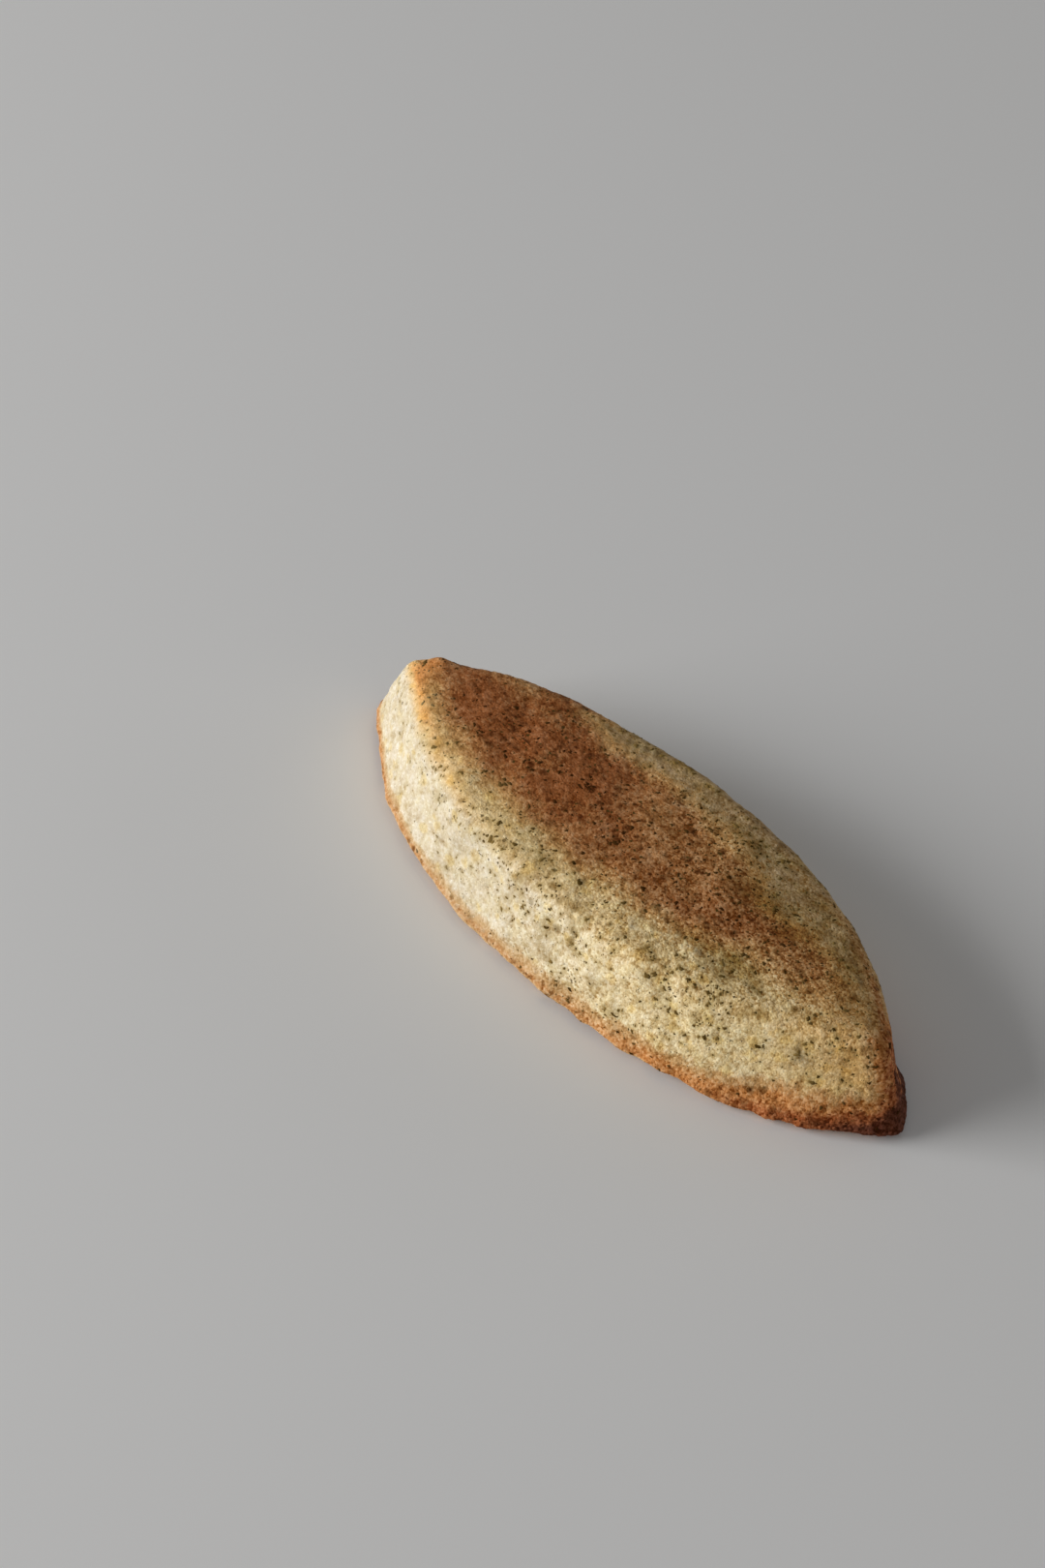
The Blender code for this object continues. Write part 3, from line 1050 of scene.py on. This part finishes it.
@dataclass(frozen=True)
class LeafDrifts:
    """How the tea leaf is shared out: in drifts and knots, thicker on top and at the near end.

    Each patch has its place along and across the cake, its half length, half width and strength.
    """

    drift: float = 0.0060
    knot: float = 0.0022
    gathered: float = 0.9
    dusk_swells: Swells = ((0.45, 0.0009, 91), (0.60, 0.0019, 92), (0.60, 0.0040, 93))
    dusk_start: float = 0.12
    dusk_least: float = -0.15
    dusk_line: Line = ((-0.045, 0.10), (-0.010, 0.40), (0.012, 1.00), (0.024, 0.90), (0.040, 0.55))
    patches: tuple[tuple[float, float, float, float, float], ...] = (
        (0.0160, 0.0050, 0.0058, 0.0032, 1.05),
        (0.0245, 0.0046, 0.0040, 0.0016, 0.50),
        (0.0235, -0.0014, 0.0040, 0.0011, 0.30),
        (0.0080, -0.0072, 0.0040, 0.0010, 0.35),
        (0.0080, -0.0112, 0.0040, 0.0009, 0.25),
        (0.0222, -0.0056, 0.0044, 0.0016, 1.10),
        (0.0230, -0.0088, 0.0034, 0.0012, 0.55),
        (0.0355, -0.0034, 0.0040, 0.0020, 0.30),
        (0.0160, -0.0072, 0.0040, 0.0013, 0.85),
        (-0.0160, 0.0034, 0.0030, 0.0014, 0.10),
        (0.0010, 0.0040, 0.0040, 0.0016, 0.25),
        (0.0240, 0.0105, 0.0060, 0.0018, 0.30),
    )

    def density(self, points: np.ndarray) -> np.ndarray:
        """Share of leaf: (0.20 + 1.3·drift² + 1.8·knot³) · (0.26 + 0.58·top + 0.58·middle) plus blots.

        The foot has less than half of it.

        Args:
            points: (..., 3) places.

        Returns:
            About 0.05 where leaf is scarce to 4 in the thickest knots.
        """
        x, z = points[..., 0], points[..., 2]
        drift = 0.5 + 0.5 * Grain.swell(points, self.drift, 81)
        knots = 0.5 + 0.5 * Grain.swell(points, self.knot, 82)
        top = rise(z, 0.006, 0.012)
        middle = rise(x, -0.034, 0.006) * (1.0 - 0.6 * rise(x, 0.024, 0.038))
        under = 1.0 - 0.6 * (z < 0.0006)
        share = (0.20 + 1.3 * drift ** 2 + 1.8 * knots ** 3) * (0.26 + 0.58 * top + 0.58 * middle) * under
        return share + self.gathered * self.blots(points)

    def blots(self, points: np.ndarray) -> np.ndarray:
        """Long soft blots on the upper face where leaf has gathered, from the table of patches.

        Args:
            points: (..., 3) places.

        Returns:
            0 away from them to their strengths in the middle.
        """
        x, y, z = np.moveaxis(points, -1, 0)
        total = np.zeros(points.shape[:-1])
        for place, side, long, wide, strength in self.patches:
            total += strength * bell(np.hypot((x - place) / long, (y - side) / wide))
        return total * rise(z, 0.008, 0.011)

    def dusk(self, points: np.ndarray) -> np.ndarray:
        """Shade of leaf that lies under the surface, in soft blots of three sizes.

        It is stronger on the back margin and on the near end of the upper face; the even darkening of that
        near end is partly painted shade.

        Args:
            points: (..., 3) places.

        Returns:
            0 on clear crumb to 1 in the darkest blot.
        """
        x, y, z = np.moveaxis(points, -1, 0)
        reach = np.maximum(along(self.dusk_line, x), 0.85 * rise(y, 0.002, 0.007))
        total = (Grain.mixed(points, self.dusk_swells) - self.dusk_start) * reach
        # An even darkening over the near end of the upper face, partly painted shade.
        end = rise(x, 0.014, 0.026) * rise(y, -0.0030, 0.0010) * (1.0 - 0.6 * rise(y, 0.0030, 0.0070))
        total = np.maximum(total, self.dusk_least) + 0.52 * end * rise(z, 0.010, 0.013)
        return np.clip(total + self.blots(points), 0.0, 1.0)


@dataclass
class CakeBody:
    """The cake itself: one closed surface with crumb relief and the masks that its finish reads.

    Each spot has its place along the rim, its climb, its radius and its strength.
    """

    form: CakeForm = field(default_factory=CakeForm)
    relief: Relief = field(default_factory=Relief)
    browning: Browning = field(default_factory=Browning)
    drifts: LeafDrifts = field(default_factory=LeafDrifts)
    sheet_gap: float = 0.0010
    rim_spread: float = 0.0018
    under_rate: float = 1.6
    foot_fade: float = 0.0040
    dent_start: float = 0.00006
    dent_most: float = 0.0003
    hollow_shade_depth: float = 0.00012
    leafy_full: float = 2.2
    spot_grain: float = 0.0009
    olive_spots: Spots = (
        (-0.0365, 0.0125, 0.0010, 0.55),
        (-0.0170, 0.0120, 0.0012, 0.50),
        (-0.0075, 0.0120, 0.0010, 0.85),
        (0.0045, 0.0119, 0.0009, 0.80),
        (0.0205, 0.0110, 0.0009, 0.80),
        (0.0260, 0.0095, 0.0008, 0.40),
        (-0.0270, 0.0140, 0.0016, 0.30),
        (-0.0120, 0.0155, 0.0014, 0.30),
    )
    slate_spots: Spots = (
        (0.0405, 0.0098, 0.0013, 0.70),
        (0.0370, 0.0180, 0.0018, 0.45),
        (0.0285, 0.0205, 0.0022, 0.60),
        (0.0235, 0.0215, 0.0014, 0.45),
        (0.0140, 0.0175, 0.0016, 0.35),
        (-0.0300, 0.0175, 0.0020, 0.30),
        (-0.0200, 0.0080, 0.0016, 0.25),
        (0.0100, 0.0070, 0.0010, 0.35),
    )

    def outward(self, grid: np.ndarray) -> np.ndarray:
        """Unit directions out of the surface: the cross product of its two grid directions.

        Args:
            grid: (rings, around, 3) points.

        Returns:
            One direction for each point, straight down and up on the two folded ends.
        """
        round_way = np.roll(grid, -1, axis=1) - np.roll(grid, 1, axis=1)
        normal = np.cross(round_way, np.gradient(grid, axis=0))
        normal[0], normal[-1] = (0.0, 0.0, -1.0), (0.0, 0.0, 1.0)
        return normal / np.maximum(np.linalg.norm(normal, axis=2, keepdims=True), 1e-12)

    def walked(self, grid: np.ndarray) -> np.ndarray:
        """Way over the surface to each point, along its station from the middle of the foot."""
        steps = np.linalg.norm(np.diff(grid, axis=0), axis=2)
        return np.concatenate([np.zeros((1, steps.shape[1])), np.cumsum(steps, axis=0)])

    def spots(self, grid: np.ndarray, climb: np.ndarray, table: Spots) -> np.ndarray:
        """Soft round spots on the front, each at a rim place and a distance up from the rim.

        Args:
            grid: (rings, around, 3) points.
            climb: distance up from the rim at each point.
            table: rim place, distance up, radius and strength of each spot.

        Returns:
            Strength of the nearest spots at each point, from 0 to 1.
        """
        rim_x = grid[self.form.rim_ring, :, 0][None, :]
        front = grid[..., 1] < 0.0
        total = np.zeros(climb.shape)
        for place, up, radius, strength in table:
            away = np.hypot(rim_x - place, climb - up) / radius
            total = np.maximum(total, front * strength * bell(away))
        return np.clip(total * (0.75 + 0.5 * Grain.swell(grid, self.spot_grain, 71)), 0.0, 1.0)

    def masks(self, grid: np.ndarray, climb: np.ndarray, crumb: np.ndarray,
              edge: np.ndarray) -> dict[str, np.ndarray]:
        """Masks that the crumb's finish reads; under the rim the foot is evenly toasted instead.

        Args:
            grid: (rings, around, 3) points of the smooth cake.
            climb: distance up from the rim at each point.
            crumb: height of the crumb relief at each point.
            edge: how browned the rim is at each point.

        Returns:
            Name to one number for each point.
        """
        x, y = grid[..., 0], grid[..., 1]
        under = rise(climb, 0.0004, -0.0018)
        behind = (y > 0.0) * rise(climb, 0.0118, 0.0098)
        foot = under * (0.70 + 0.25 * Grain.swell(grid, 0.0080, 72))
        return {
            "warm": np.maximum(rise(x, -0.018, 0.027), 0.55 * behind),
            "tip": rise(x, 0.026, 0.044),
            "straw": rise(climb, 0.0110, 0.0145),
            # tan: olive-tan crumb at the back and near end of the upper face, partly painted shade.
            "tan": self.browning.shade(grid) * (1.0 - under),
            "gold": np.clip(self.browning.gold(grid, climb), 0.0, 1.0),
            "toast": np.maximum(self.browning.band(grid, climb), foot),
            "knob": self.browning.knob(grid, climb),
            "rim": edge * (1.0 - under * (1.0 - 0.70 * rise(edge, 0.50, 0.85))),
            "olive": self.spots(grid, climb, self.olive_spots),
            "slate": self.spots(grid, climb, self.slate_spots),
            # hollow: where the crumb relief dips, for painted shade in the hollows and painted light on the
            # lumps.
            "hollow": np.clip(-crumb / self.hollow_shade_depth, -1.0, 1.5) * (1.0 - under),
            "leafy": np.clip(self.drifts.density(grid) / self.leafy_full, 0.0, 1.0) * (1.0 - 0.5 * under),
            # dusk: leaf under the surface, and partly painted shade over the near end of the upper face.
            "dusk": self.drifts.dusk(grid) * (1.0 - under),
        }

    def make(self) -> bpy.types.Object:
        """Build the cake and store its masks on the vertices.

        Returns:
            The cake's object.
        """
        smooth = self.form.surface()
        inset, height = self.form.section()
        walked = self.walked(smooth)
        climb = walked - walked[self.form.rim_ring]
        near_rim = bell((smooth[..., 2] - self.form.rim_height) / self.rim_spread)
        edge = self.browning.rim(smooth, np.where(climb > 0.0, climb, -self.under_rate * climb))
        crumb = self.relief.crumb(smooth, np.clip(edge, 0.0, 1.0))
        below = (height < self.form.rim_height)[:, None]
        fade = np.where(below, ease((self.form.foot_inset - inset[:, None]) / self.foot_fade), 1.0)
        push = (self.relief.swells(smooth, near_rim) + crumb) * fade
        grid = smooth + self.outward(smooth) * push[..., None]
        dent = (1.0 - fade) * np.clip(self.dent_start - crumb, 0.0, self.dent_most)
        grid[..., 2] = np.maximum(grid[..., 2], 0.0) + dent
        return self.weave(grid, self.masks(smooth, climb, crumb, edge))

    def flatten(self, grid: np.ndarray) -> np.ndarray:
        """Flat sheet of the surface: the upper side rolled out from its spine, the foot beside it.

        A point of the upper side lies off the spine, towards its place on the rim, by as much as the
        way to it over the surface. The foot lies in plan.

        Args:
            grid: (rings, around, 3) points.

        Returns:
            (faces, 4, 2) places of the faces' corners on the sheet, from 0 to 1.
        """
        edge = self.form.rim_ring
        walked = self.walked(grid)
        spine = grid[-1, :, :2] * np.array([1.0, 0.0])
        way = grid[edge, :, :2] - spine
        way /= np.linalg.norm(way, axis=1, keepdims=True)
        upper = (spine + way * (walked[-1] - walked)[..., None])[edge:]
        low, high = upper.min(axis=(0, 1)), upper.max(axis=(0, 1))
        plan = grid[:edge + 1, :, :2]
        beside = plan.min(axis=(0, 1)) - np.array([low[0], high[1] + self.sheet_gap])
        corners = [panels(part).reshape(-1, 4, 2) for part in (plan - beside, upper)]
        flat = np.concatenate(corners) - low + self.sheet_gap
        return flat / (flat.max() + self.sheet_gap)

    def weave(self, grid: np.ndarray, masks: dict[str, np.ndarray]) -> bpy.types.Object:
        """Join the rings into one closed mesh whose first and last rings fold to a line.

        Args:
            grid: (rings, around, 3) points.
            masks: name to a number at each point.

        Returns:
            The object with its masks as vertex marks.
        """
        rings, around, _ = grid.shape
        station = np.arange(around)
        folded = np.minimum(station, around - station)
        numbers = np.arange(rings * around).reshape(rings, around)
        for end in (0, -1):
            numbers[end] = numbers[end][folded]
        used, order = np.unique(numbers, return_inverse=True)
        faces = panels(order.reshape(rings, around)).reshape(-1, 4)
        points = grid.reshape(-1, 3)[used]
        points[(used < around) | (used >= (rings - 1) * around), 1] = 0.0
        piece = put_mesh("almond_cake", points, faces, self.flatten(grid))
        for name, values in masks.items():
            mark(piece, name, values.reshape(-1)[used])
        return piece


@dataclass
class TeaFlecks:
    """Specks of tea leaf set in the crumb: flat, ragged blobs scattered over the whole surface."""

    drifts: LeafDrifts = field(default_factory=LeafDrifts)
    count: int = 3500
    seed: int = 5
    middle_size: float = 0.00013
    spread: float = 0.56
    largest: float = 0.00050
    slimmest: float = 0.55
    slim_from: float = 0.00030
    slim_power: float = 0.4
    thickness: float = 0.35
    thick_range: tuple[float, float] = (0.00005, 0.00011)
    sunk: float = 0.25
    clearance: float = 0.00001
    shade_power: float = 1.1
    swings: tuple[tuple[int, float], ...] = ((2, 0.22), (3, 0.20), (5, 0.14))
    stained: int = 1500
    stain_reach: float = 2.0
    stain_depth: float = 0.66
    rows: int = 5
    columns: int = 9
    cell_margin: float = 0.12

    def blob(self, random: np.random.Generator) -> np.ndarray:
        """Unit blobs: a squashed sphere whose outline swings with three waves.

        Args:
            random: the source of the waves' phases.

        Returns:
            (count, rows, columns, 3) points.
        """
        tilt = np.linspace(-0.5 * np.pi, 0.5 * np.pi, self.rows)[None, :, None]
        turn = np.linspace(0.0, 2.0 * np.pi, self.columns, endpoint=False)[None, None, :]
        swing = np.ones((self.count, 1, self.columns))
        for wave, height in self.swings:
            phase = random.uniform(0.0, 2.0 * np.pi, (self.count, 1, 1))
            swing = swing + height * np.cos(wave * turn + phase)
        x = np.cos(tilt) * np.cos(turn) * swing
        y = np.cos(tilt) * np.sin(turn) * swing
        return np.stack([x, y, np.sin(tilt) * np.ones_like(x)], axis=-1)

    def stain(self, cake: bpy.types.Object, place: np.ndarray, size: np.ndarray) -> None:
        """Store the olive halo that the larger flecks leave in the crumb round them.

        Args:
            cake: the cake's object, which gets the mark.
            place: centres of the flecks.
            size: half lengths of the flecks.
        """
        points = read(cake.data.vertices, "co", 3)
        halo = np.zeros(len(points))
        large = np.argsort(-size)[:self.stained]
        for centre, reach in zip(place[large], self.stain_reach * size[large]):
            away = np.linalg.norm(points - centre, axis=1) / reach
            halo = np.maximum(halo, bell(away) * (1.0 - 0.5 * rise(centre[0], -0.006, -0.030)))
        mark(cake, "stain", self.stain_depth * halo)

    def crust(self, cake: bpy.types.Object, chosen: np.ndarray) -> np.ndarray:
        """How browned the cake is at each chosen face, read from the face's first vertex.

        Args:
            cake: the cake's object.
            chosen: numbers of the faces.

        Returns:
            0 on pale crumb to 1 on the toasted face or the browned rim.
        """
        mesh = cake.data
        first = read(mesh.polygons, "loop_start", kind=np.int32)[chosen]
        vertex = read(mesh.loops, "vertex_index", kind=np.int32)[first]
        toast, rim = (read(mesh.attributes[name].data, "value", kind=np.float32) for name in ("toast", "rim"))
        return np.clip(np.maximum(toast, rim)[vertex], 0.0, 1.0)

    def make(self, cake: bpy.types.Object) -> bpy.types.Object:
        """Scatter the flecks over the cake by area and share of leaf, and stain the crumb round them.

        Args:
            cake: the cake's object, which gets the stain.

        Returns:
            The flecks' object.
        """
        random = np.random.default_rng(self.seed)
        faces = cake.data.polygons
        centre, normal = read(faces, "center", 3), read(faces, "normal", 3)
        weight = read(faces, "area") * self.drifts.density(centre)
        chosen = random.choice(len(faces), self.count, replace=False, p=weight / weight.sum())
        place, up = centre[chosen], normal[chosen]
        long = np.cross(up, random.normal(size=(self.count, 3)))
        long /= np.linalg.norm(long, axis=1, keepdims=True)
        size = self.middle_size * np.exp(self.spread * random.normal(size=self.count))
        size = np.minimum(size, self.largest)
        slim = random.uniform(self.slimmest, 1.0, self.count)
        slim = slim * np.minimum(1.0, (self.slim_from / size) ** self.slim_power)
        thick = np.clip(self.thickness * size, *self.thick_range)
        scale = np.stack([size, size * slim, thick], axis=1)[:, None, None, :]
        axes = np.stack([long, np.cross(up, long), up], axis=1)
        points = np.einsum("nrck,nkj->nrcj", self.blob(random) * scale, axes)
        points += (place - up * (thick * self.sunk)[:, None])[:, None, None, :]
        points[..., 2] = np.maximum(points[..., 2], self.clearance)
        x, y, z = place.T
        shade = random.uniform(0.0, 1.0, self.count) ** self.shade_power + 0.75 * rise(x, 0.002, -0.028)
        clear = np.maximum(rise(z, 0.0135, 0.0115), 0.45 * rise(x, -0.030, -0.036))
        faint = 0.70 * rise(x, -0.006, -0.030) * clear * (y < 0.0)
        marks = {"shade": np.clip(shade, 0.0, 1.0), "baked": self.crust(cake, chosen), "faint": faint}
        self.stain(cake, place, size)
        return self.weave(points, marks)

    @staticmethod
    def halve(corners: np.ndarray) -> np.ndarray:
        """Three corners of each triangle, from each blob's four-cornered panels, row by row.

        Args:
            corners: (count, rows - 1, columns, 4, ...) corners; the end rows close in single points.

        Returns:
            (triangles, 3, ...) corners.
        """
        low, middle, high = corners[:, 0], corners[:, 1:-1], corners[:, -1]
        parts = (low[:, :, [0, 2, 3]], middle[:, :, :, [0, 1, 2]],
                 middle[:, :, :, [0, 2, 3]], high[:, :, [0, 1, 2]])
        return np.concatenate([part.reshape(-1, 3, *corners.shape[4:]) for part in parts])

    def sheet(self) -> np.ndarray:
        """Small square cell of the bake's flat sheet for each blob, its rows and columns ruled in it.

        Returns:
            (count, rows - 1, columns, 4, 2) places of the panels' corners, from 0 to 1.
        """
        across = math.ceil(math.sqrt(self.count))
        number = np.arange(self.count)
        home = np.stack([number % across, number // across], axis=-1)[:, None, None, None, :]
        row, column = np.meshgrid(np.arange(self.rows - 1), np.arange(self.columns), indexing="ij")
        corner = [np.stack([(column + right) / self.columns, (row + up) / (self.rows - 1)], axis=-1)
                  for right, up in ((0, 0), (1, 0), (1, 1), (0, 1))]
        inside = self.cell_margin + (1.0 - 2.0 * self.cell_margin) * np.stack(corner, axis=2)
        return (home + inside[None]) / across

    def weave(self, points: np.ndarray, marks: dict[str, np.ndarray]) -> bpy.types.Object:
        """Join each blob's rows into faces, with its two ends drawn to single points.

        Args:
            points: (count, rows, columns, 3) places.
            marks: name to one number for each blob, stored on all its vertices.

        Returns:
            The flecks' object.
        """
        each = self.rows * self.columns
        numbers = np.arange(self.count * each).reshape(self.count, self.rows, self.columns)
        for end in (0, -1):
            numbers[:, end] = numbers[:, end, :1]
        corners = np.moveaxis(panels(np.moveaxis(numbers, 0, -1)), -1, 0)
        used, order = np.unique(self.halve(corners), return_inverse=True)
        flat = self.halve(self.sheet())
        piece = put_mesh("tea_flecks", points.reshape(-1, 3)[used], order.reshape(-1, 3), flat)
        for name, values in marks.items():
            mark(piece, name, values[used // each])
        return piece


class Lamp(Enum):
    """The studio's soft white lights: turn from the picture's left, height angle, size and watts."""

    WINDOW = (math.radians(-11.0), math.radians(18.5), (0.80, 0.55), 13.2)
    BOARD = (math.radians(155.0), math.radians(11.0), (0.80, 0.36), 1.2)


@dataclass(frozen=True)
class Studio:
    """Pale floor, soft lights and a camera at the photograph's viewing angle."""

    azimuth: float = math.radians(39.30)
    elevation: float = math.radians(46.36)
    roll: float = math.radians(9.00)
    distance: float = 0.50343
    shift_right: float = -0.01478
    shift_up: float = 0.01670
    aim_height: float = 0.0013
    lens: float = 85.0
    film: float = 36.0
    nearest: float = 0.01
    floor_reach: float = 3.0
    floor_gap: float = 0.00005
    lamp_reach: float = 1.2
    lamp_aim: float = 0.006
    room_light: float = 0.19

    def floor(self) -> None:
        """Lay the floor just under the cake."""
        square = np.array([(-1.0, -1.0), (1.0, -1.0), (1.0, 1.0), (-1.0, 1.0)])
        corners = np.column_stack([self.floor_reach * square, np.full(4, -self.floor_gap)])
        floor = put_mesh("studio_floor", corners, np.array([[0, 1, 2, 3]]), smooth=False)
        floor.data.materials.append(FloorFinish().make())

    def lamps(self) -> None:
        """Hang the area lights, each turned to the cake."""
        left = Vector((-math.cos(self.azimuth), -math.sin(self.azimuth), 0.0))
        away = Vector((-math.sin(self.azimuth), math.cos(self.azimuth), 0.0))
        for lamp in Lamp:
            turn, lift, size, power = lamp.value
            light = bpy.data.lights.new(lamp.name.lower(), "AREA")
            light.shape = "RECTANGLE"
            light.size, light.size_y = size
            light.energy = power
            flat = math.cos(turn) * left + math.sin(turn) * away
            place = self.lamp_reach * (math.cos(lift) * flat + Vector((0.0, 0.0, math.sin(lift))))
            way = Vector((0.0, 0.0, self.lamp_aim)) - place
            item = bpy.data.objects.new(light.name, light)
            item.matrix_world = Matrix.Translation(place) @ way.to_track_quat("-Z", "Y").to_matrix().to_4x4()
            bpy.context.collection.objects.link(item)

    def room(self) -> None:
        """Give the room an even pale glow."""
        world = bpy.data.worlds.new("room")
        world.use_nodes = True
        ground = world.node_tree.nodes["Background"]
        ground.inputs["Color"].default_value = (1.0, 1.0, 1.0, 1.0)
        ground.inputs["Strength"].default_value = self.room_light
        bpy.context.scene.world = world
        bpy.context.scene.view_settings.view_transform = "Standard"

    def camera(self) -> None:
        """Set the camera: it looks along the fitted direction, rolled, with the cake off centre."""
        turn, lift = self.azimuth, self.elevation
        back = Vector((math.sin(turn) * math.cos(lift), -math.cos(turn) * math.cos(lift), math.sin(lift)))
        right = Vector((math.cos(turn), math.sin(turn), 0.0))
        up = back.cross(right)
        level, tipped = math.cos(self.roll), math.sin(self.roll)
        across = level * right + tipped * up
        upward = -tipped * right + level * up
        place = self.distance * back + self.shift_right * across + self.shift_up * upward
        place += Vector((0.0, 0.0, self.aim_height))
        data = bpy.data.cameras.new("camera")
        data.sensor_fit = "VERTICAL"
        data.sensor_height = self.film
        data.lens = self.lens
        data.clip_start = self.nearest
        item = bpy.data.objects.new("camera", data)
        item.matrix_world = Matrix.Translation(place) @ Matrix((across, upward, back)).transposed().to_4x4()
        bpy.context.collection.objects.link(item)
        bpy.context.scene.camera = item

    def build(self) -> None:
        """Set up everything round the cake."""
        for step in (self.floor, self.lamps, self.room, self.camera):
            step()


def wear(piece: bpy.types.Object, material: bpy.types.Material) -> None:
    """Give a piece its material, let it ride with the cake's body, and report it.

    Args:
        piece: the piece.
        material: its material.
    """
    piece.data.materials.append(material)
    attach(piece, "root")
    LOG.info("%s: %d vertices, %d faces", piece.name, len(piece.data.vertices), len(piece.data.polygons))


def main() -> None:
    """Build the cake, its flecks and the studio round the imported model."""
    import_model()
    cake = CakeBody().make()
    wear(cake, CrumbFinish().make())
    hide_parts("financier_cake")
    flecks = TeaFlecks().make(cake)
    wear(flecks, FleckFinish().make())
    Studio().build()
    bpy.context.view_layer.update()


if __name__ == "__main__":
    logging.basicConfig(level=logging.INFO)
    main()
